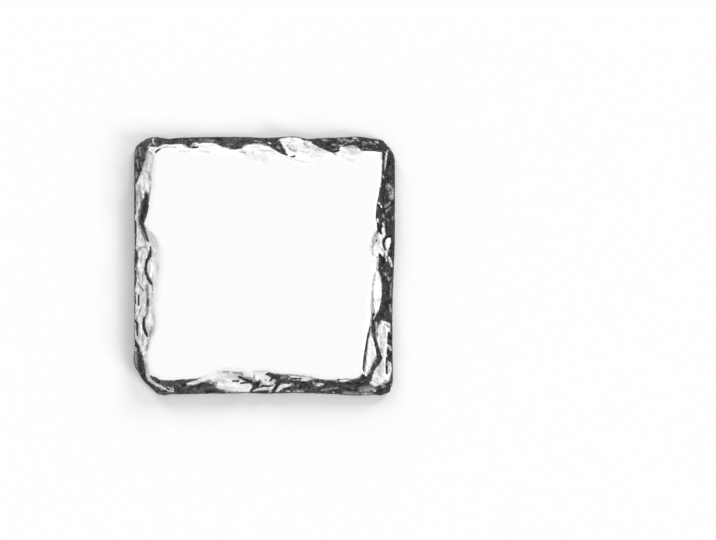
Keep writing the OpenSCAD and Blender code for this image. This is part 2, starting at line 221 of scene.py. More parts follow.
# What the pincers and the sprayer left on the rim, read off the picture: strokes of
# (x, y, half width) in its pixels. Bare places have no coat, and cracks cut through it. Dim and faint grey
# the coat, partly as thin coat and partly as painted shade of its dips and slopes. Pale lightens the stone.
rimMarks = {}
rimMarks["bare"] = [
    # left
    [(141, 160, 3), (139.4, 168, 3.4), (137.4, 176, 2.8), (135.8, 183, 1.4)],
    [(147.2, 195.6, 2), (147.2, 200, 2.4), (146.4, 206, 3.2), (144.6, 213, 4), (142.8, 218, 4),
     (142.6, 223, 2.6), (144, 228, 1.4), (146, 233, 1.2), (148.4, 241, 0.9)],
    [(138, 344, 0.9), (139.6, 350, 1.2), (141, 355, 2), (141.6, 361, 2.6), (142.4, 368, 2.8), (144, 375, 2.3),
     (146, 380, 1.9), (149.4, 385, 1.8), (154.6, 389.2, 2.1), (160, 392, 1.8)],
    # bottom
    [(151.6, 375.6, 0.8), (155.8, 378.4, 1.6), (161, 381.4, 1.8), (167, 383.6, 1.4), (171, 384, 0.9)],
    [(171, 380.8, 1), (180, 380.2, 1), (190, 379.7, 0.9), (197, 378.9, 0.7)],
    [(277, 377, 2.2), (283, 378.5, 3.2), (288, 382, 1.8)], [(311, 381.6, 1.2), (312.4, 384.6, 0.9)],
    # right
    [(391, 182, 2), (391.4, 190, 2.6), (391.2, 200, 2.2)],
    [(384.8, 153, 0.8), (383.7, 162, 0.9), (382.6, 172, 1)],
    [(388.6, 152, 0.9), (387.4, 162, 1), (386.4, 172, 1)],
    [(379.8, 188, 1.2), (378.2, 200, 1.4), (377, 208, 1.4), (376.6, 216, 1.3), (376.8, 226, 1.3)],
    [(383, 276, 1), (383.4, 285, 1.2), (383, 296, 1.6), (380.8, 308, 1.4), (378.8, 313, 1)],
    [(381.6, 318.4, 1.6), (386, 319.4, 1.8), (390.4, 322, 1.6)],
    [(370.2, 327, 1), (367.8, 336, 1.1), (366, 348, 1.2), (364.2, 361, 1.2), (363, 375, 1.2)],
    [(373, 331, 2), (375.4, 341, 1.7), (377.6, 350, 2), (379.6, 357.6, 2.9), (377, 362.4, 2.8),
     (373.4, 367, 2.3), (370.6, 375, 2.2), (368.4, 382, 2.2)],
    # top
    [(151, 145.6, 1.2), (157, 146.4, 1.2), (163, 145.2, 0.8)],
    [(279.4, 143, 1.6), (281.4, 148, 1.8), (284.4, 151.4, 1.3)],
    [(302.4, 139.4, 1), (308, 140, 1.4), (313, 141.4, 1.4)], [(331, 147.4, 1.7), (338.4, 147.6, 1.6)],
    [(339, 140.6, 2.4), (345, 140.6, 3.2), (352, 140.6, 3.2), (359, 141, 3)],
    [(361, 150, 0.9), (370, 151, 1), (379, 151.8, 0.9)],
    [(271, 146.8, 1.2), (275.5, 149, 1.6), (280.5, 151.5, 1.9), (284.5, 153.6, 1.7), (287, 155.4, 0.9)],
    [(310, 140.4, 0.9), (314, 142.6, 2), (319, 145, 2.4), (325, 148, 2.4), (330, 150.4, 2), (334, 152, 1.7),
     (338, 150.8, 1.4)], [(230, 149, 0.8), (236, 149.2, 1), (241.4, 147.8, 1.1)],
    [(343, 146.6, 0.8), (347, 145.2, 1.5), (352, 144.3, 1.4), (357, 145.4, 1.6), (361, 148.2, 1.6)],
    [(338, 144, 1.2), (344, 144, 1.2)], [(332, 148.6, 1.2), (337.4, 148.4, 1.3)],
]
rimMarks["coat"] = [
    # left
    [(136.4, 322, 1.6), (136.6, 330, 2), (137.4, 337, 2.4), (140.6, 343, 2.2), (143.6, 350, 1)],
    [(136, 347, 1), (136.4, 350.4, 1)],
    [(147.5, 362, 1.2), (147.8, 372, 1.5), (149.8, 378.2, 1.5), (153.2, 381.8, 1.5), (158, 385.1, 1.4),
     (163, 387.3, 1.2), (166.6, 388.7, 0.8)], [(153.4, 139.4, 0.7), (153.6, 142.6, 0.9)],
    # bottom
    [(168.5, 386.5, 0.6), (170.8, 388.6, 0.8)], [(170, 390.6, 0.8), (173.5, 391.2, 0.8)],
    [(167.3, 389.8, 0.7), (169, 391.2, 0.6)], [(172.6, 387.6, 0.6), (173.8, 389.6, 0.7)],
    [(188.5, 384, 1), (192, 382.9, 1.4), (197, 381.6, 1.4), (203, 380.2, 1)],
    [(210, 382.2, 0.8), (212.4, 382.8, 0.8)], [(231, 392.6, 0.9), (238, 393.2, 1.2), (248.6, 392.4, 1.4)],
    [(253.4, 390.8, 0.8), (257, 389.3, 1.2), (262, 388.5, 1.5), (267, 388.2, 1.6), (271, 387.6, 1.4),
     (274.4, 385.6, 1), (276.6, 383.8, 0.7)], [(258, 376.8, 2), (264, 378.6, 2.6), (267.5, 378.4, 2.8)],
    [(263, 383.4, 0.8), (268, 383.5, 0.9), (272, 383.2, 0.8)], [(274.2, 380, 1), (275.2, 381, 0.9)],
    [(253.2, 376.5, 1.6), (253.4, 380.4, 1.3)], [(250.6, 384.4, 1), (250.6, 387.4, 1)],
    [(259.4, 386.6, 0.6), (261.6, 383.2, 1)], [(269.4, 389.6, 0.9), (270, 391.6, 0.8)],
    [(277.4, 391.6, 0.8), (279, 389.2, 1.3), (281.8, 387.2, 1.6), (285.4, 385.9, 1.2), (289, 385.3, 0.7)],
    [(286.4, 390.4, 0.6), (290, 391.4, 0.5)], [(293.8, 390.8, 0.8), (294.8, 391.8, 0.7)],
    [(298.6, 391.2, 0.9), (299.8, 391.8, 0.8)], [(291.6, 376.5, 0.6), (296, 376.3, 0.9), (300, 376.4, 0.7)],
    [(293, 379.7, 0.5), (299, 379.6, 0.6)],
    [(302, 378.8, 1.9), (305.5, 379, 2.1), (310, 378, 1.4), (312, 377.4, 0.8)],
    [(288.6, 378.3, 0.5), (290.4, 378.5, 0.5)], [(340.4, 380.7, 0.9), (344, 380.3, 1.2), (347.6, 379.6, 0.9)],
    [(333, 391.9, 0.8), (333.6, 392.2, 0.8)], [(364.4, 393.4, 0.9), (366.4, 393.6, 0.9)],
    [(372.2, 388.4, 1), (374.8, 390.6, 1.4)],
    # right
    [(391, 384.4, 0.9), (391.8, 385.8, 0.8)], [(371.4, 382.4, 2), (375.5, 383.8, 2.4), (380, 381.8, 2)],
    [(387.6, 344.6, 1), (389.6, 347, 1.3), (390.8, 350, 0.9)], [(377.3, 256, 0.9), (377.6, 268, 0.8)],
    [(376.4, 312.6, 0.5), (373.4, 318.6, 0.5)],
    [(383.4, 231.6, 1.2), (384.4, 234.4, 1.3), (382.6, 238.4, 1.6), (380.6, 243, 1.8)],
    [(388.6, 240.8, 2.2), (388, 244.4, 1.9), (387, 248.4, 1.1)],
    [(386.4, 251, 1.3), (386.1, 256, 1.1), (386.4, 261, 0.8)],
    [(389, 257.6, 1), (390.2, 261, 1.3), (391.4, 266, 1.1)], [(377.5, 219.4, 1), (377.6, 221.8, 1.1)],
    [(382.8, 224, 0.9), (383.6, 225.6, 0.9)], [(378.6, 203.2, 0.9), (379.6, 204.2, 0.8)],
    [(380.8, 206.2, 0.9), (381.6, 207.4, 0.8)],
    # top
    [(353.4, 138.3, 1), (355.4, 138.3, 0.9)],
    [(341.4, 148, 0.8), (346, 149.4, 1.5), (351, 148.6, 2), (356, 150, 1.8), (360, 152, 1)],
    [(269, 143.3, 0.8), (270.6, 143.8, 0.9)], [(193.3, 144.6, 0.8), (196.4, 143.7, 1.1), (199, 144.8, 1)],
]
rimMarks["cracks"] = [
    # left
    [(135.2, 187, 0.8), (135.6, 196, 1.2), (135.4, 206, 0.9), (135.4, 214, 1.1)],
    [(135.6, 222, 1.4), (135.8, 232, 1.3), (135.5, 245, 1.1)],
    [(135.5, 250, 1.2), (136.6, 256, 1.8), (136.2, 262, 1.4), (135.2, 268, 0.9)],
    [(135.6, 271, 1.2), (135.8, 278, 1.4), (135.4, 285, 1.2)], [(135.2, 293, 0.9), (135.4, 303, 1.1)],
    [(151, 247, 0.7), (151.2, 252, 1), (150.3, 256.5, 1.8), (149, 259.5, 0.8)],
    [(148.2, 259, 1), (146.6, 264, 1.2), (146.4, 271, 1.2), (148.6, 277, 1.2), (150.8, 281, 1.2),
     (152.5, 284.5, 0.8)], [(139.2, 296, 0.7), (139.3, 305, 0.7)],
    [(147.4, 197, 1), (146.8, 205, 1.6), (144.4, 214, 2.2), (143, 222, 1.4)],
    [(148.8, 299.6, 0.5), (148.6, 305.4, 0.6)], [(140.6, 358, 0.9), (141.4, 366, 1.2), (143, 374, 1.2)],
    [(144.6, 318, 1), (144.2, 324, 1.3), (145.2, 329, 1.2), (146.8, 333.5, 1.4), (147.8, 336, 0.8)],
    [(136, 320.5, 0.8), (138, 324, 1), (137.4, 329, 0.8), (138, 335, 0.7)],
    [(135.2, 341.6, 0.8), (137, 343.4, 0.9)], [(156.2, 153, 0.8), (158, 151.2, 0.8), (160.5, 150.2, 0.5)],
    # bottom
    [(239, 376.3, 0.9), (243, 378.2, 1.2), (247.5, 380.2, 1.5), (251.4, 381.6, 1.1)],
    [(233, 380.7, 0.6), (238.5, 380.8, 0.8)], [(241, 383, 0.7), (246, 382.4, 0.8), (251, 381.6, 1.2)],
    [(250.8, 391.4, 0.7), (252.6, 388.2, 0.9), (254.6, 385.4, 1.1), (257.6, 383, 1.5), (259.6, 380.8, 1)],
    [(262.4, 385.6, 0.7), (267.5, 386, 0.8), (273, 384.9, 0.7)],
    [(255.4, 391.5, 0.7), (261, 391.8, 1), (267.6, 391.5, 0.8)], [(252.6, 392.9, 0.7), (255.4, 393.1, 0.6)],
    [(271.2, 392.6, 1.2), (273.8, 389.8, 1.8), (276.2, 386.8, 1.7), (278, 384, 1.8), (275.6, 382.8, 0.9)],
    [(266.4, 373.9, 0.7), (269.5, 373.4, 1.7), (273, 375, 1.6), (272.4, 378, 1), (270.6, 380.4, 0.8)],
    [(292, 378.2, 0.5), (297, 378.2, 0.6), (301, 378, 0.6)],
    [(283, 388.4, 0.5), (287, 388.3, 0.7), (290.5, 388.2, 0.5)],
    [(338, 378.9, 0.8), (343, 378.4, 0.8), (348, 378, 0.7)],
    # right
    [(375.8, 216.6, 0.5), (375.6, 221, 0.6), (376.2, 225, 0.7)],
    [(378.6, 226, 2), (379.4, 230, 2), (381, 233.6, 0.9)], [(376, 240.2, 0.6), (376.5, 241.4, 0.5)],
    [(389.5, 236.6, 0.9), (386, 237.4, 1.1), (384, 239.6, 1.3), (383, 243, 1.2), (383.9, 246.6, 1.1),
     (385.2, 250, 0.8)], [(391.8, 243, 0.6), (390.2, 248, 1.2), (388.8, 252, 1.2), (390.4, 255, 1.2)],
    [(379.2, 254.4, 0.9), (380.6, 257.4, 1.8), (382.6, 262, 2.3)],
    [(387.6, 190.8, 0.5), (390.4, 190.4, 0.6), (393, 191.8, 0.5)], [(388.4, 195, 0.6), (390.4, 194.4, 0.5)],
    [(388.6, 333, 1.1), (388.8, 338, 1.7), (388.2, 343, 1)],
    [(387.6, 350.8, 0.8), (388.8, 355, 1.4), (389, 359.4, 1.1)],
    [(386.6, 358, 0.8), (386.2, 365, 0.9), (386.6, 373, 0.8)],
    # top
    [(187.6, 145, 0.9), (189.6, 146.4, 1.2)], [(192.6, 148, 0.6), (195, 148.1, 0.8), (198, 147.6, 0.7)],
    [(291, 157.4, 0.5), (293.5, 157, 0.7), (295, 156.6, 0.4)],
]
# grey on the coat: partly thin coat, partly painted shade of its dips and slopes
rimMarks["dim"] = [
    # left
    [(150.2, 173, 0.9), (150.9, 179.5, 1.2)], [(147.6, 162, 0.7), (146.6, 172, 0.7)],
    [(140.8, 192, 0.9), (142.3, 200, 1.1), (142.6, 206, 0.9)],
    [(137.4, 191, 0.7), (138.2, 200, 0.8), (137, 210, 0.9)],
    [(139, 224, 0.9), (142.4, 232, 0.9), (146.4, 241, 0.8)],
    [(147.2, 247.6, 0.7), (143, 247, 0.8), (139.6, 249.5, 0.9), (138, 252.6, 0.9)],
    [(138.4, 259, 0.8), (137, 266, 0.9), (138.6, 274, 0.8)],
    [(138.4, 282.4, 0.7), (141, 287, 0.8), (144, 291, 0.8)], [(139.2, 296, 1), (139.2, 305, 1)],
    [(141.4, 308, 0.6), (138.8, 315, 0.7), (136.6, 319.6, 0.7)],
    [(153, 285, 0.7), (153.5, 291, 0.8), (152.8, 297, 0.7)],
    [(149.3, 281, 0.9), (148, 286, 1.2), (148.2, 293, 1.3), (149, 302, 1.4), (148.2, 309, 1.2),
     (147.3, 314, 0.8)], [(152.6, 327, 1), (151, 335, 1.3), (149, 342, 1.3), (147.4, 350, 1.1)],
    [(146.4, 364, 0.6), (146.8, 374, 0.6)], [(158, 386.6, 0.6), (164, 389, 0.7)],
    # bottom
    [(296, 375.2, 0.5), (304, 375.8, 0.7), (312, 377, 0.8)], [(313.4, 383.6, 1), (316, 383.6, 0.8)],
    [(320.6, 385.4, 0.9), (323, 385.4, 0.9)], [(254.6, 374, 0.7), (254, 378, 0.9), (252.6, 383.5, 0.9)],
    [(265.4, 379.4, 0.8), (266.4, 379.9, 0.8)], [(261.5, 382.6, 1), (263, 384.6, 1)],
    [(269.4, 390.4, 1.2), (270, 392, 1)], [(209.6, 382, 1), (213.4, 383.2, 0.9)],
    [(372.4, 388.8, 1.2), (374.8, 390.8, 1.4)], [(293, 379.8, 0.7), (299, 379.7, 0.7)],
    # right
    [(386.8, 150, 1.2), (385.8, 160, 1.6), (384.4, 172, 1.7)],
    [(378, 231, 1.4), (376, 235, 2.1), (374.6, 239.6, 2.4), (373, 244, 1.9), (371.6, 250, 1.4),
     (372.6, 255, 0.9)], [(377.6, 257, 1.2), (377.8, 264, 1.2), (378, 270, 0.9)],
    [(380, 247, 0.7), (384, 252, 0.8)], [(386.3, 257, 1), (386.3, 262, 1)],
    [(389.8, 259, 0.8), (391, 265, 0.9)],
    [(374.8, 274, 0.8), (373.4, 283, 1), (372.3, 292, 1), (371.6, 302, 1), (371.4, 309, 1)],
    [(372.6, 310, 1.4), (372.8, 317, 1)], [(371, 333.6, 1), (372.4, 337, 0.8)],
    [(385, 324, 1.1), (388.6, 327, 1)], [(380.4, 340, 0.7), (381.6, 352, 0.8)],
    [(388.4, 346, 1), (390.4, 349, 1)], [(389.6, 365, 0.7), (389.4, 372, 0.7)],
    [(380.6, 365, 0.8), (378, 372, 0.7)],
    # top
    [(185, 145.4, 1.3), (188, 147.5, 1)], [(160, 149, 0.6), (168, 147.4, 0.6), (177, 147.8, 0.5)],
    [(287, 146, 1), (292, 151, 1.2), (296, 151.4, 0.9)], [(304, 144, 0.8), (308, 148, 0.7)],
    [(333, 153.4, 0.8), (336.5, 155.8, 0.7)], [(381, 153, 0.6), (381.4, 159, 0.6)],
    [(345, 147.4, 1.2), (352, 147, 1.4), (359, 148, 1.2)], [(240.6, 152.4, 0.8), (245.4, 153.4, 0.9)],
]
# fainter grey on the coat: partly thin coat, partly painted shade of its dips and slopes
rimMarks["faint"] = [
    # left
    [(153.6, 156, 0.8), (153, 164, 0.8), (151, 172, 0.8)], [(158.4, 267, 1), (158.8, 272, 1)],
    [(141.6, 336, 0.8), (144.6, 345, 0.8)], [(151.6, 232, 0.8), (156, 238, 0.8), (159.4, 246, 0.8)],
    [(154, 315, 1.4), (155, 325, 1.2), (153, 334, 1)],
    # bottom
    [(218, 371.6, 0.8), (231, 373.7, 0.8), (240, 373.2, 1.2)], [(232, 376, 0.8), (238, 375.6, 0.9)],
    [(222, 375.5, 0.8), (230, 378, 0.8)], [(201, 377.8, 0.8), (206, 376.6, 0.8)],
    [(254, 371.3, 0.8), (262, 371.2, 0.9), (268, 370.8, 0.7)], [(218, 380, 1), (226, 383, 1)],
    [(219, 388, 0.8), (224, 390.6, 0.8)],
    # right
    [(380, 240, 2), (377, 246, 3.6), (375, 251, 3.6)], [(384, 232, 1.2), (382.6, 239, 1.4)],
    [(373, 240, 2), (371.4, 246, 2), (370.4, 252, 1.6)], [(381, 338, 1), (383, 348, 1.2)],
    [(372, 342, 1), (373, 354, 1)], [(382, 328, 4), (382.6, 345, 3)], [(380, 370, 4), (376, 379, 3)],
    # top
    [(180, 151.6, 0.8), (190, 152, 0.9)], [(199, 151.3, 0.9), (210, 152.4, 0.9)],
    [(242, 152, 2), (249, 155, 3), (257, 157.6, 3), (266, 160.6, 1.6)],
    [(342, 156, 1), (347, 159, 1.2), (353, 160.8, 1), (358, 160.4, 0.8)],
    [(287, 158, 0.8), (296, 160.5, 0.8), (304, 162, 0.8), (311, 163.6, 0.7)],
    [(304, 142.6, 1.2), (316, 149, 1.4), (326, 153, 1)],
]
rimMarks["pale"] = [
    # left
    [(135.6, 150.8, 1.4), (135.6, 155, 1.2)], [(139.8, 148, 0.8), (141, 156, 0.9)],
    [(137.4, 160, 0.7), (138.8, 168, 0.7)], [(142, 163, 0.5), (142.6, 168, 0.5)],
    [(137, 173, 0.6), (136.6, 178, 0.6)], [(140.4, 206, 1.1), (139.4, 214, 1.3), (138, 219.4, 1.2)],
    [(135.6, 350, 1.3), (135.8, 358, 1.6), (136, 366, 1.8), (136.6, 372, 1.6)],
    # bottom
    [(282, 377.4, 1), (286, 376.4, 0.8)], [(286.6, 383.6, 1), (287.6, 385, 0.8)],
    [(292, 383.5, 0.8), (293, 384.5, 0.8)], [(297, 390.6, 1), (303, 391, 1)],
    [(322, 390.2, 0.7), (330, 388.4, 0.8), (338, 387.6, 0.7)],
    [(345, 393, 1.5), (350, 394, 1.8), (357, 394.4, 1.5)],
    [(361, 389.6, 2), (368, 389, 2.2), (374, 388.4, 1.6)], [(362, 394.4, 1.2), (372, 394, 1.2)],
    # right
    [(389, 186.6, 1.8), (391.8, 190, 2.2), (391.8, 197, 2)],
    [(385, 207, 0.6), (388, 204.6, 0.7), (390, 202.6, 0.5)], [(386, 211, 0.5), (389, 209.4, 0.6)],
    [(382.5, 214.6, 0.6), (383.4, 217.4, 0.6)], [(392.5, 217, 0.6), (392.5, 219.6, 0.6)],
    [(382.4, 176.8, 0.9), (383.4, 177.8, 0.8)], [(385.2, 274, 0.9), (386, 275, 0.9)],
    [(388.4, 278, 1), (389, 279.6, 0.9)], [(390.8, 284, 0.5), (390.6, 296, 0.6)],
    [(390, 305, 0.7), (390.8, 311, 0.7)], [(376.2, 322.6, 1), (376.8, 328, 1)],
    [(392.6, 317.6, 0.6), (392.4, 325.6, 0.6)], [(382.4, 387, 0.6), (385, 385.6, 0.6)],
    # top
    [(151, 144.5, 0.6), (149, 147, 0.7)], [(154.6, 143.5, 0.7), (156.8, 146, 0.6)],
    [(205, 140.5, 0.5), (214, 141.4, 0.5)], [(255, 141, 0.6), (262, 142.4, 0.6)],
    [(323, 140, 0.8), (327, 140.5, 0.8)], [(338.6, 139, 0.8), (342, 141.6, 0.9)],
    [(344, 139.4, 0.8), (347.6, 141.4, 1)], [(350, 142, 1), (353.4, 140.8, 1)],
    [(356.4, 139, 0.8), (358.6, 141, 0.8)], [(332.4, 144.6, 0.9), (335.4, 145, 0.8)],
    [(376, 141.9, 0.9), (378, 142.7, 0.9)], [(363, 142.5, 0.7), (366, 143.2, 0.8)],
    [(369.8, 142, 0.6), (371.5, 144, 0.7)], [(374, 143.6, 0.5), (374.8, 144.8, 0.5)],
]


# where the outline bulges out past the CAD's: x, y, how far along and how far out, in the picture's pixels,
# and the share of its reach over which a bulge is at its full height
bulgeTop = 0.3
bulges = [(139, 145, 7, 1.6), (145, 140.4, 6, 0.9), (135, 361, 13, 2), (161, 394.6, 9, 1.2),
          (356, 395, 22, 1.2), (384, 393, 11, 2.6), (391.4, 151.6, 8, 1.4), (387.6, 146.4, 5, 0.5),
          (383.6, 141.6, 7, 0.9)]


def fromPicture(x, y):  # a place in the picture, in mm from the slate's middle
    return np.array((x - picture["slateX"], picture["slateY"] - y)) / picture["pixelsPerMm"]


def onSlate(kind):  # strokes of one kind, in mm
    return [[(*fromPicture(x, y), width / picture["pixelsPerMm"]) for x, y, width in stroke]
            for stroke in rimMarks[kind]]


# Relief of the chipped rim, with depths in mm and sizes in mm along the side, along it again and across it,
# or in x, y and z for the grit and the chips. Each form shows by a share on bare stone, by one under an even
# coat, and by a third that a streaky coat adds to it.
rimRelief = {
    "flakes": {"size": (4.2, 4.2, 1.7), "deep": 0.42, "seed": 2, "octaves": 2, "shows": (1, 0.4, 0)},
    # edges of the slate's layers, and the same under the coat, broader
    "sheets": {"size": (9, 9, 3), "wander": 1.4, "step": 0.62, "seed": 3, "shows": (0.8, 0.1, 0)},
    "terraces": {"size": (8, 8, 2.4), "wander": 0.9, "step": 1.15, "seed": 18, "shows": (0, 0.35, 0.65)},
    "grit": {"size": (0.7, 0.7, 0.6), "deep": 0.14, "seed": 4, "octaves": 3, "shows": (1, 0.12, 0)},
    # hollows that the pincers' jaws left, and smaller ones
    "scars": {"size": (3.4, 3.4, 2.0), "deep": 0.75, "seed": 16, "shows": (1, 0.1, 0.3)},
    "chips": {"size": (1.3, 1.3, 1.0), "deep": 0.3, "seed": 17, "shows": (1, 0.1, 0)},
    # layers that show through the coat
    "folds": {"size": (3.4, 3.4, 0.8), "deep": 0.3, "seed": 5, "octaves": 2, "shows": (0, 0.3, 0.7)},
}
# grooves between the layers, where the coat is thin and greys as painted shade, and how far they run before
# they fade
coatGrooves = {"size": (6.5, 6.5, 0.75), "seed": 14, "wide": 0.3, "deep": 0.22, "thins": 0.45,
               "runs": {"size": (5, 5, 2), "deep": 1, "seed": 15, "octaves": 2}}
# The coat's border drifts off the CAD's and is nibbled, in mm. At a border that was read off the picture it
# thickens more steeply, and a crack's banks slope.
coatEdge = {
    "drift": 0.32, "driftSize": (1.7, 1.7, 1.1), "driftSeeds": (31, 32),
    "nibble": {"size": (0.8, 0.8, 0.8), "deep": 0.3, "seed": 8, "octaves": 3},
    "nibbledBare": 0.7, "nibbledCoat": 0.5, "nibbledCracks": 0.6,
    "blur": 1.2, "reach": 1.4, "steep": 1.7, "banks": 0.7, "faint": 0.42,
    "calm": 0.5, "calmOver": (0.85, 1),  # share of the nibbling that is lost on the way up to the crease
    "stripped": (-0.15, 0.35),  # mm past a bare stroke's border over which the overspray is cleared
}
# Overspray on the stone is thickest beside the coat. It spreads over columns and rings of points, and little
# or none reaches into bare places and cracks. Down the wall it depends on the coat at the lip, in mm.
overspray = {"spread": (5, 4), "shows": (0.03, 0.5), "cleared": 0.8, "atLip": (-0.2, 0.3)}
rimForm = {
    "crackDeep": 0.55,  # mm that a crack digs into the stone
    "thinDeep": 0.22,  # mm that the stone dips where the coat is thin
    "brinkDeep": 0.3,  # mm that bare stone breaks off at the crease
    "lowest": 0.9,  # mm above the table
    "underFace": 0.03,  # mm that the highest chip stays below the face
    "scarMiddle": 0.55,  # what scarsAt gives half way up a hollow
    "riser": 0.2,  # half of the share of a layer's step that is riser and not tread
    "cadSoft": (2.5, 1.5),  # columns and rings that even out the CAD's facets
    "bareOver": (-0.3, 0.5),  # mm inside the coat's border over which the form turns from bare to coated
    # shares of the way from the lip to the crease
    "fade": (0.9, 1), "grooveFade": (0.8, 1), "brink": (0.4, 0.97), "rounded": (0.5, 0.9),
    "roundSoft": (2, 3), "coverSoft": (3, 4),  # columns and rings, where the slope rounds into the flat
    "crackPaintedShade": 0.25,  # how much painted shade darkens the stone's colour in a crack
}

# how light the fresh stone is, and how streaky the coat, whose grey streaks are partly painted shade, keyed
# by the side's number plus the share along it
stoneTones = [(0, 1.1), (0.3, 0.95), (0.8, 0.75), (1.1, 0.38), (1.9, 0.3), (2.1, 0.33), (2.4, 0.55),
              (2.9, 0.75), (3.05, 1.0), (4, 1.1)]
coatStreaks = [(0, 0.6), (0.25, 0.25), (0.45, 0.25), (0.6, 0.6), (0.9, 0.4), (1.2, 0.15), (2, 0.2),
               (2.3, 0.4), (2.8, 0.3), (3.1, 0.8), (4, 0.8)]


def sideValues(rows):  # one value for each column, from rows of (side's number plus share, value)
    keys = np.arange(rimMesh["stations"]) / perSide
    return np.interp(keys, [row[0] for row in rows], [row[1] for row in rows])[:, None]


def stepped(level, riser):  # turns an even slope into treads, with risers twice as wide as that share
    tread = np.floor(level)
    return tread + eased(level - tread, 0.5 - riser, 0.5 + riser)


def layered(plan, heights, wrapped):  # what the edges of the layers add to a slope's height
    level = heights / plan["step"] + noiseAt(wrapped, plan["size"], plan["seed"]) * plan["wander"]
    return (stepped(level, rimForm["riser"]) - level) * plan["step"]


def traceColumns():  # the back's outline and the crease, found on the CAD slate along each column
    slate = surfaceOf("slate_body")
    corners = [Vector((x * halfWidth, y * halfLength)) for x, y in square]
    ways = [start.lerp(end, i / perSide).normalized().to_3d()
            for start, end in zip(corners, corners[1:] + corners[:1]) for i in range(perSide)]
    (above, edgeSoft), (below, creaseSoft) = rimMesh["outline"], rimMesh["crease"]
    found = []
    for height, soft in ((above, edgeSoft), (slateTop - below, creaseSoft)):
        reaches = [slate.ray_cast(Vector((0, 0, height)), way)[3] for way in ways]
        found.append(blurred(np.array(reaches)[:, None], soft, 0)[:, 0])
    return np.array(ways)[:, :2], *found


def layOutRim():  # columns of points from the lip over the rim to just inside the flat, without heights yet
    ways, edges, creases = traceColumns()
    count, rings, flat = (rimMesh[key] for key in ("stations", "rimRings", "flatRings"))
    nicks = bumps(wallRelief["nicks"], roundTheSlate(np.zeros((count, 1))))
    edges = edges - np.clip(nicks[:, 0], 0, wallRelief["nicks"]["deep"])
    bulge = np.zeros(count)
    for x, y, along, out in bulges:
        gap = np.linalg.norm(ways * edges[:, None] - fromPicture(x, y), axis=1) * picture["pixelsPerMm"]
        bulge += out / picture["pixelsPerMm"] * (1 - eased(gap / along, bulgeTop, 1))
    edges = edges + bulge
    lips = edges - rimMesh["wallLean"]
    share = np.linspace(0, 1, rings + 1)
    reaches = lips[:, None] + (creases - lips)[:, None] * share
    inside = creases[:, None] - rimMesh["flatWidth"] * (np.arange(flat) + 1) / flat
    places = ways[:, None, :] * np.hstack([reaches, inside])[..., None]
    rise = np.concatenate([share, np.ones(flat)])[None, :] + np.zeros((count, 1))
    onCad = places - ways[:, None, :] * (bulge[:, None] * (1 - rise))[..., None]
    return {"ways": ways, "edges": edges, "lips": lips, "places": places, "rise": rise, "onCad": onCad,
            "wrapped": roundTheSlate(insetOf(places))}


def readCad(rim):  # heights of the CAD's chips, and ones where its coat lies
    slate, coat = surfaceOf("slate_body"), surfaceOf("face_coat", *["rim_coat_" + side for side in sideNames])
    onCad, shape, rings = rim["onCad"], rim["rise"].shape, rimMesh["rimRings"]
    drift = [noiseAt(rim["wrapped"], coatEdge["driftSize"], seed) for seed in coatEdge["driftSeeds"]]
    drifted = onCad + np.stack(drift, axis=-1) * coatEdge["drift"]
    above, down = 20, Vector((0, 0, -1))
    heights, coated = np.full(shape, slateTop), np.ones(shape)
    for i in range(shape[0]):
        for k in range(rings):
            heights[i, k] = slate.ray_cast(Vector((*onCad[i, k], above)), down)[0].z
            coated[i, k] = coat.ray_cast(Vector((*drifted[i, k], above)), down)[0] is not None
    heights = blurred(heights, *rimForm["cadSoft"])
    heights[:, rings:] = slateTop
    rim.update(heights=heights, coated=coated, solid=withHeights(rim["places"], heights))


def markRim(rim):  # how far inside the coat's border each point lies, in mm, and what lies on the stone
    edge, places, rise, wrapped = coatEdge, rim["places"], rim["rise"], rim["wrapped"]
    nibbled = bumps(edge["nibble"], rim["solid"])
    within = (blurred(rim["coated"], edge["blur"], edge["blur"]) - 0.5) * edge["reach"]
    within = within + nibbled * (rise < 1) * (1 - edge["calm"] * eased(rise, *edge["calmOver"]))
    toBare = outside(places, onSlate("bare")) + edge["nibbledBare"] * nibbled
    toCrack = outside(places, onSlate("cracks")) + edge["nibbledCracks"] * nibbled
    within = np.minimum(within, edge["steep"] * toBare)
    within = np.maximum(within, edge["nibbledCoat"] * nibbled - outside(places, onSlate("coat")))
    within = np.minimum(within, edge["steep"] * toCrack)
    stripped = eased(-toBare, *edge["stripped"])
    dug = np.clip(0.5 - toCrack / edge["banks"], 0, 1)

    broken = nibbled / edge["nibble"]["deep"]
    pale, dim, faint = [stain(places, onSlate(kind), broken) for kind in ("pale", "dim", "faint")]
    ridges = np.abs(noiseAt(wrapped, coatGrooves["size"], coatGrooves["seed"]))
    runs = np.clip(0.5 + bumps(coatGrooves["runs"], wrapped), 0, 1)
    groove = (1 - eased(ridges, 0, coatGrooves["wide"])) * runs
    groove = groove * (1 - eased(rise, *rimForm["grooveFade"])) * sideValues(coatStreaks)
    # the coat's grey: thin coat, plus painted shade in its marked dips and its grooves
    thin = np.maximum(np.maximum(dim, edge["faint"] * faint), coatGrooves["thins"] * groove)

    mist = eased(blurred(rim["coated"], *overspray["spread"]), *overspray["shows"]) * (rise < 1)
    mist = mist * (1 - dug) * (1 - overspray["cleared"] * stripped)
    mist[:, 0] = eased(within[:, 0], *overspray["atLip"])
    # painted shade: the stone's colour darkens in the cracks, on top of its tone along the sides
    tone = sideValues(stoneTones) * (1 - rimForm["crackPaintedShade"] * dug)
    rim.update(within=within, dug=dug, thin=thin, groove=groove, pale=pale, mist=mist, tone=tone)


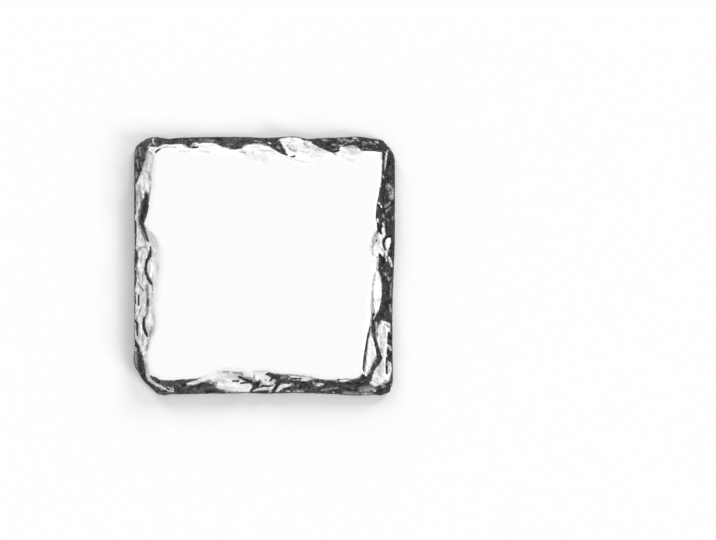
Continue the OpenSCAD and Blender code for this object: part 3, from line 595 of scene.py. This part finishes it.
def carveRim(rim):  # relief that fades towards the crease, and is softer where the coat fills it
    wrapped, solid, rise, heights = rim["wrapped"], rim["solid"], rim["rise"], rim["heights"]
    form, relief, streaky = rimForm, rimRelief, sideValues(coatStreaks)
    bare = 1 - eased(rim["within"], *form["bareOver"])
    fade = 1 - eased(rise, *form["fade"])
    carved = {name: bumps(relief[name], wrapped) for name in ("flakes", "folds")}
    carved["grit"] = bumps(relief["grit"], solid)
    for name, points in (("scars", wrapped), ("chips", solid)):
        hollows = scarsAt(points, relief[name]["size"], relief[name]["seed"]) - form["scarMiddle"]
        carved[name] = hollows * relief[name]["deep"]
    for name in ("sheets", "terraces"):
        carved[name] = layered(relief[name], heights, wrapped)
    for name, shape in carved.items():
        onBare, onCoat, onStreaky = relief[name]["shows"]
        heights = heights + fade * shape * (onBare * bare + (onCoat + onStreaky * streaky) * (1 - bare))
    heights = heights - fade * coatGrooves["deep"] * rim["groove"] * (1 - bare)
    heights = heights - fade * (form["crackDeep"] * rim["dug"] + form["thinDeep"] * rim["thin"])
    heights = heights - form["brinkDeep"] * bare * (rise < 1) * eased(rise, *form["brink"])
    rings = rimMesh["rimRings"]
    heights[:, :rings] = np.clip(heights[:, :rings], form["lowest"], slateTop - form["underFace"])
    heights[:, rings:] = slateTop

    # under the coat the slope rounds over into the flat, where bare stone breaks off at the crease
    rounded = np.minimum(blurred(heights, *form["roundSoft"]), slateTop)
    covered = (1 - blurred(bare, *form["coverSoft"])) * eased(rise, *form["rounded"])
    heights[:, :-1] = (heights + (rounded - heights) * covered)[:, :-1]
    rim["heights"] = heights


def knapRim():
    print("rim: columns, the coat's borders, relief")
    rim = layOutRim()
    readCad(rim)
    markRim(rim)
    carveRim(rim)
    return rim


# the split wall, with sizes and depths in mm as above: nicks in its outline, seams between the layers, pits,
# and the ragged lower border of the spray and the pale patches
wallRelief = {
    "nicks": {"size": (2.4, 2.4, 1), "deep": 0.22, "seed": 41, "octaves": 3},
    "seams": {"size": (5, 5, 0.45), "deep": 0.22, "seed": 6, "octaves": 2},
    "pits": {"size": (0.9, 0.9, 0.6), "deep": 0.11, "seed": 7, "octaves": 2},
    "fringe": {"size": (1.6, 1.6, 1.2), "deep": 0.4, "seed": 43, "octaves": 3},
    "meanDent": 0.1, "deepestDent": 0.4,
    "foot": (0, 0.15), "fringeOver": (0.5, 1),  # shares of the wall's height
    "lipSoft": 2,  # columns that even out the marks on their way down from the lip
}

# the back's split surface, in mm above its plane: shallow waves and a few steps that follow the cleavage
backRelief = {
    "waves": {"size": (34, 26, 1), "deep": 0.05, "seed": 11, "octaves": 2},
    "steps": {"size": (46, 30, 1), "seed": 12, "count": 4, "high": 0.035, "riser": 0.08},
    "grain": {"size": (2.2, 2.2, 1), "deep": 0.02, "seed": 13, "octaves": 3},
    "mean": 0.1, "most": 0.4, "border": (0.5, 6),
}

# hardly visible waves of the split slate under the white face, which grow over this stretch in from the
# slate's sides, in mm
faceRelief = {"size": (22, 15, 1), "deep": 0.015, "seed": 21, "octaves": 2, "border": (11, 16)}


def riven(places):
    spots = withHeights(places, np.zeros(len(places)))
    plan, steps = backRelief, backRelief["steps"]
    level = noiseAt(spots, steps["size"], steps["seed"]) * steps["count"]
    relief = plan["mean"] + bumps(plan["waves"], spots) + bumps(plan["grain"], spots)
    relief = relief + stepped(level, steps["riser"]) * steps["high"]
    return eased(insetOf(places), *plan["border"]) * np.clip(relief, 0, plan["most"])


def faceFlow(places):
    spots = withHeights(places, np.zeros(places.shape[:-1]))
    waves = faceRelief["deep"] + bumps(faceRelief, spots)
    return -eased(insetOf(places), *faceRelief["border"]) * waves


def buildSlate(rim):
    print("slate: wall, chipped rim, back")
    count, wall = rimMesh["stations"], rimMesh["wallRings"]
    climb = np.linspace(0, 1, wall + 1)[:-1]
    wallHeights = rim["heights"][:, :1] * climb
    drum = roundTheSlate(wallHeights)
    dents = wallRelief["meanDent"] + bumps(wallRelief["seams"], drum) + bumps(wallRelief["pits"], drum)
    dents = np.clip(dents, 0, wallRelief["deepestDent"]) * eased(climb, *wallRelief["foot"])
    reaches = rim["edges"][:, None] - (rim["edges"] - rim["lips"])[:, None] * climb - dents
    wallPlaces = rim["ways"][:, None, :] * reaches[..., None]
    grid = np.hstack([withHeights(wallPlaces, wallHeights), withHeights(rim["places"], rim["heights"])])
    rings = grid.shape[1]
    points = grid.transpose(1, 0, 2).reshape(-1, 3).tolist()
    faces = []
    for k in range(rings - 1):
        faces += pairUp(range(k * count, (k + 1) * count), range((k + 1) * count, (k + 2) * count))
    fillInward(points, faces, list(range((rings - 1) * count, rings * count)), rimMesh["hiddenSpacing"],
               lambda places: np.full(len(places), slateTop), True)
    fresh = np.ones(len(points))
    fillInward(points, faces, list(range(count)), rimMesh["backSpacing"], riven, False)
    shades = {"fresh": np.append(fresh, np.zeros(len(points) - len(fresh)))}

    # spray and pale patches end raggedly, a little way down the wall, and the stone's tone, with the painted
    # shade of its cracks, runs on to its foot
    ragged = eased(climb + bumps(wallRelief["fringe"], drum), *wallRelief["fringeOver"])
    for name, share, onBack in (("pale", ragged, 0), ("mist", ragged, 0), ("tone", np.ones(ragged.shape), 1)):
        lip = blurred(rim[name][:, :1], wallRelief["lipSoft"], 0)
        values = np.full(len(points), float(onBack))
        values[:wall * count] = (lip * share).T.reshape(-1)
        values[wall * count:rings * count] = rim[name].T.reshape(-1)
        shades[name] = values
    return makeMesh("slate", points, faces, shades)


# The coat is a thin shell whose border sinks into the stone, and it greys towards that border. Lengths in mm.
# The chips' white gives way to the face's over the last stretch up to the crease.
coatShell = {"swell": 0.7, "sunk": 0.2, "under": 0.28, "skirt": 0.32, "borderGrey": 0.5, "borderWide": 0.5,
             "markGrey": 0.9, "faceUnder": 0.05, "chipFade": (0.7, 1)}


def buildRimCoat(rim, side):
    print("coat on the", sideNames[side], "rim")
    columns = np.arange(side * perSide, (side + 1) * perSide + 1) % rimMesh["stations"]
    names = ("within", "places", "heights", "rise", "thin")
    within, places, heights, rise, marks = [rim[name][columns] for name in names]
    lift = np.clip(within * coatShell["swell"], -coatShell["sunk"], coatThick)
    lift[:, rimMesh["rimRings"] + 1:] = coatThick
    within[:, rimMesh["rimRings"]:] = 1
    # grey from the marks, partly painted shade, and grey of thin coat towards the border
    border = coatShell["borderGrey"] * (1 - eased(within, 0, coatShell["borderWide"]))
    thinness = np.maximum(marks * coatShell["markGrey"], border)
    upper = withHeights(places, heights + lift + faceFlow(places))
    lower = withHeights(places, heights - coatShell["under"])
    wet = within > -coatShell["skirt"]
    quads = {(i, k) for i in range(perSide) for k in range(heights.shape[1] - 1)
             if wet[i:i + 2, k:k + 2].any()}
    kept = {}
    faces, points, thin, chip = [], [], [], []

    def corner(i, k, layer):
        if (i, k, layer) not in kept:
            kept[(i, k, layer)] = len(points)
            points.append((upper if layer else lower)[i, k].tolist())
            thin.append(thinness[i, k])
            chip.append(1 - eased(rise[i, k], *coatShell["chipFade"]))
        return kept[(i, k, layer)]

    for i, k in sorted(quads):
        ring = [(i, k), (i + 1, k), (i + 1, k + 1), (i, k + 1)]
        faces.append([corner(a, b, 1) for a, b in ring])
        faces.append([corner(a, b, 0) for a, b in ring[::-1]])
        beside = [(i, k - 1), (i + 1, k), (i, k + 1), (i - 1, k)]
        for (a, b), other in zip(zip(ring, ring[1:] + ring[:1]), beside):
            if other not in quads:
                faces.append([corner(*a, 0), corner(*b, 0), corner(*b, 1), corner(*a, 1)])
    return makeMesh("coat_" + sideNames[side], points, faces, {"thin": thin, "chip": chip})


def buildFaceCoat(rim):
    print("coat on the face")
    count = rimMesh["stations"]
    places = rim["places"][:, -1]
    points = withHeights(places, slateTop + coatThick + faceFlow(places)).tolist()
    faces = []
    top = list(range(count))
    fillInward(points, faces, top, rimMesh["topSpacing"], lambda p: slateTop + coatThick + faceFlow(p), True)
    under = list(range(len(points), len(points) + count))
    bottom = slateTop - coatShell["faceUnder"]
    points += withHeights(places, np.full(count, bottom)).tolist()
    faces += pairUp(under, top)
    fillInward(points, faces, under, rimMesh["undersideSpacing"], lambda p: np.full(len(p), bottom), False)
    return makeMesh("coat_face", points, faces, {"thin": [0.0] * len(points), "chip": [0.0] * len(points)})


def toLinear(hexColour):
    parts = [int(hexColour[i:i + 2], 16) / 255 for i in (1, 3, 5)]
    return [c / 12.92 if c <= 0.04045 else ((c + 0.055) / 1.055) ** 2.4 for c in parts] + [1]


def perMetre(bumpMm):  # the scale that gives a noise bumps of that size
    return 1000 / bumpMm / 2


colourMix, larger, product = {"data_type": "RGBA"}, {"operation": "MAXIMUM"}, {"operation": "MULTIPLY"}


def addNode(tree, kind, settings=None, inputs=None, links=None, output=None):
    node = tree.nodes.new("ShaderNode" + kind)
    for key, value in (settings or {}).items():
        setattr(node, key, value)
    for key, value in (inputs or {}).items():
        node.inputs[key].default_value = value
    for key, socket in (links or {}).items():
        tree.links.new(socket, node.inputs[key])
    return node.outputs[output] if output else next(way for way in node.outputs if way.enabled)


def newMaterial(name, look):
    material = bpy.data.materials.new(name)
    material.use_nodes = True
    tree = material.node_tree
    shader = tree.nodes["Principled BSDF"]
    shader.inputs["Roughness"].default_value = look["roughness"]
    shader.inputs["Specular IOR Level"].default_value = look["specular"]
    return material, tree, shader


# Knapped slate: mudstone split by hand along its cleavage and chipped with pincers. Split faces are an even
# grey with faint bands. Fresh chips are darker and rough, with black pits, painted glints on mica and specks
# of stone dust. Next to the coat they carry a speckle of overspray.
slateLook = {
    "fresh": "#6E6E6E", "freshDark": "#262626", "split": "#565656", "splitLight": "#666666",
    "paleSprayAndGlint": "#B4B4B4", "roughness": 0.78, "specular": 0.2, "bump": 0.6, "bumpMm": 0.15,
    # how wide the noises' bumps are in mm, and their own settings
    "grain": (1.3, {"Detail": 6, "Roughness": 0.7}),
    "specks": (0.8, {"Detail": 3, "Roughness": 0.7}),
    "bands": (16, {"Detail": 5, "Distortion": 0.6}),
}


def knappedSlate():
    look = slateLook
    material, tree, shader = newMaterial("knapped_slate", look)
    place = addNode(tree, "TexCoord", output="Object")
    fresh, pale, mist, tone = [addNode(tree, "Attribute", {"attribute_name": name}, output="Fac")
                               for name in ("fresh", "pale", "mist", "tone")]
    grain, specks, bands = [
        addNode(tree, "TexNoise", None, {"Scale": perMetre(wide), **more}, {"Vector": place})
        for wide, more in (look["grain"], look["specks"], look["bands"])]
    rough = addNode(tree, "MapRange", None, {"From Min": 0.38, "From Max": 0.66}, {"Value": grain})
    chips = addNode(tree, "Mix", colourMix, {"A": toLinear(look["freshDark"]), "B": toLinear(look["fresh"])},
                    {"Factor": rough})
    # painted shade: the chips darken in the cracks, through their tone
    toned = addNode(tree, "Mix", colourMix, {"A": toLinear(look["freshDark"])}, {"Factor": tone, "B": chips})
    soft = addNode(tree, "MapRange", None, {"From Min": 0.3, "From Max": 0.7}, {"Value": bands})
    splits = addNode(tree, "Mix", colourMix,
                     {"A": toLinear(look["split"]), "B": toLinear(look["splitLight"])}, {"Factor": soft})
    stone = addNode(tree, "Mix", colourMix, None, {"Factor": fresh, "A": splits, "B": toned})
    # painted glints on mica, with specks of stone dust, on the fresh chips only
    flecks = addNode(tree, "MapRange", None, {"From Min": 0.58, "From Max": 0.7, "To Max": 0.6},
                     {"Value": specks})
    onChips = addNode(tree, "Math", product, None, {0: flecks, 1: fresh})
    spray = addNode(tree, "Math", {"operation": "MULTIPLY_ADD"}, {1: 0.5}, {0: mist, 2: specks})
    sprayed = addNode(tree, "MapRange", None, {"From Min": 0.72, "From Max": 0.95}, {"Value": spray})
    # painted mica glints, pale patches and overspray all take the one pale colour
    glintAndPale = addNode(tree, "Math", larger, None, {0: onChips, 1: pale})
    glintPaleAndSpray = addNode(tree, "Math", larger, None, {0: glintAndPale, 1: sprayed})
    colour = addNode(tree, "Mix", colourMix, {"B": toLinear(look["paleSprayAndGlint"])}, {"Factor": glintPaleAndSpray, "A": stone})
    bump = addNode(tree, "Bump", None, {"Strength": look["bump"], "Distance": look["bumpMm"] * mm},
                   {"Height": grain})
    tree.links.new(colour, shader.inputs["Base Color"])
    tree.links.new(bump, shader.inputs["Normal"])
    return material


# White polymer coat, the kind that takes a sublimation print: sprayed on and baked. It gives an even satin
# white that hides the stone's grain on the face. On the chips it is uneven; it greys where thin and as
# painted shade.
coatLook = {
    "face": "#FCFCFC", "chips": "#FAFAFA", "thin": "#6E6E6E", "mottle": "#C4C4C4", "roughness": 0.58,
    "specular": 0.35, "bump": 0.15, "bumpMm": 0.03,
    "peel": (0.8, {"Detail": 2, "Roughness": 0.4}), "clouds": (2.0, {"Detail": 4, "Roughness": 0.65}),
}


def sprayedCoat():
    look = coatLook
    material, tree, shader = newMaterial("sprayed_white_coat", look)
    place = addNode(tree, "TexCoord", output="Object")
    thin, chip = [addNode(tree, "Attribute", {"attribute_name": name}, output="Fac")
                  for name in ("thin", "chip")]
    peel, clouds = [addNode(tree, "TexNoise", None, {"Scale": perMetre(wide), **more}, {"Vector": place})
                    for wide, more in (look["peel"], look["clouds"])]
    white = addNode(tree, "Mix", colourMix, {"A": toLinear(look["face"]), "B": toLinear(look["chips"])},
                    {"Factor": chip})
    cloudy = addNode(tree, "MapRange", None, {"From Min": 0.5, "From Max": 0.75}, {"Value": clouds})
    onChips = addNode(tree, "Math", product, None, {0: cloudy, 1: chip})
    mottled = addNode(tree, "Mix", colourMix, {"B": toLinear(look["mottle"])},
                      {"Factor": onChips, "A": white})
    # the grey of thin coat and of painted shade in dips and grooves
    colour = addNode(tree, "Mix", colourMix, {"B": toLinear(look["thin"])}, {"Factor": thin, "A": mottled})
    bump = addNode(tree, "Bump", None, {"Strength": look["bump"], "Distance": look["bumpMm"] * mm},
                   {"Height": peel})
    tree.links.new(colour, shader.inputs["Base Color"])
    tree.links.new(bump, shader.inputs["Normal"])
    return material


# A white table in an even white room, with three low soft lamps in a row from the lower right round to the
# upper left, which throw one wide shadow. A lamp's level is what it adds to a white sheet that lies flat.
# The table reaches so many mm each way, and lies a little below the back, to keep off it.
studio = {"room": 0.5, "table": "#FFFFFF", "roughness": 0.9, "specular": 0, "reach": 1500, "gap": 0.02,
          "lampHeight": 22, "lampSoft": 20}  # degrees
lamps = {"right": {"level": 0.21, "turn": -30}, "key": {"level": 0.165, "turn": 55},
         "top": {"level": 0.12, "turn": 120}}


def lightStudio():
    print("studio")
    world = bpy.data.worlds.new("white_room")
    bpy.context.scene.world = world
    world.use_nodes = True
    tree = world.node_tree
    seen = addNode(tree, "LightPath", output="Is Camera Ray")
    rays = seen.node.outputs
    for kind in ("Is Glossy Ray", "Is Transmission Ray"):
        seen = addNode(tree, "Math", larger, None, {0: seen, 1: rays[kind]})
    strength = addNode(tree, "MapRange", None, {"To Min": studio["room"], "To Max": 1}, {"Value": seen})
    tree.links.new(strength, tree.nodes["Background"].inputs["Strength"])
    tree.nodes["Background"].inputs["Color"].default_value = (1, 1, 1, 1)
    height = math.radians(studio["lampHeight"])
    for name, plan in lamps.items():
        turn = math.radians(plan["turn"])
        lamp = bpy.data.lights.new(name, "SUN")
        lamp.energy = plan["level"] * math.pi / math.sin(height)
        lamp.angle = math.radians(studio["lampSoft"])
        holder = addObject(name, lamp)
        holder.visible_glossy = False  # coat and mica reflect the white room, without the lamps' glare
        flat = math.cos(height)
        towards = Vector((flat * math.cos(turn), flat * math.sin(turn), math.sin(height)))
        holder.rotation_euler = towards.to_track_quat("Z", "Y").to_euler()
    reach = studio["reach"]
    table = makeMesh("table", [(x * reach, y * reach, 0) for x, y in square], [(0, 1, 2, 3)])
    material, tree, shader = newMaterial("white_paper_sheet", studio)
    shader.inputs["Base Color"].default_value = toLinear(studio["table"])
    table.data.materials.append(material)
    table.location.z = -studio["gap"] * mm


def placeCamera():  # it looks straight down
    data = bpy.data.cameras.new("camera")
    scale = picture["pixelsPerMm"]
    data.sensor_width = picture["sensor"]
    data.lens = picture["sensor"] * picture["distance"] * scale / (picture["wide"] * mm)
    data.clip_start, data.clip_end = 0.05, 10
    camera = addObject("camera", data)
    right = (picture["wide"] / 2 - picture["slateX"]) / scale * mm
    up = (picture["slateY"] - picture["high"] / 2) / scale * mm
    camera.location = (right, up, picture["distance"])
    bpy.context.scene.camera = camera
    bpy.context.scene.view_settings.view_transform = "Standard"


rim = knapRim()
pieces = {"slate": buildSlate(rim), "face": buildFaceCoat(rim)}
pieces.update({name: buildRimCoat(rim, side) for side, name in enumerate(sideNames)})

slateMaterial = knappedSlate()
coatMaterial = sprayedCoat()
for name, piece in pieces.items():
    piece.data.materials.append(slateMaterial if name == "slate" else coatMaterial)
    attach(piece, "root")
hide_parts("slate_body")
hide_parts("face_coat")
for name in sideNames:
    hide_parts("rim_coat_" + name)

lightStudio()
placeCamera()
for name, piece in pieces.items():
    print(name, len(piece.data.polygons), "faces")
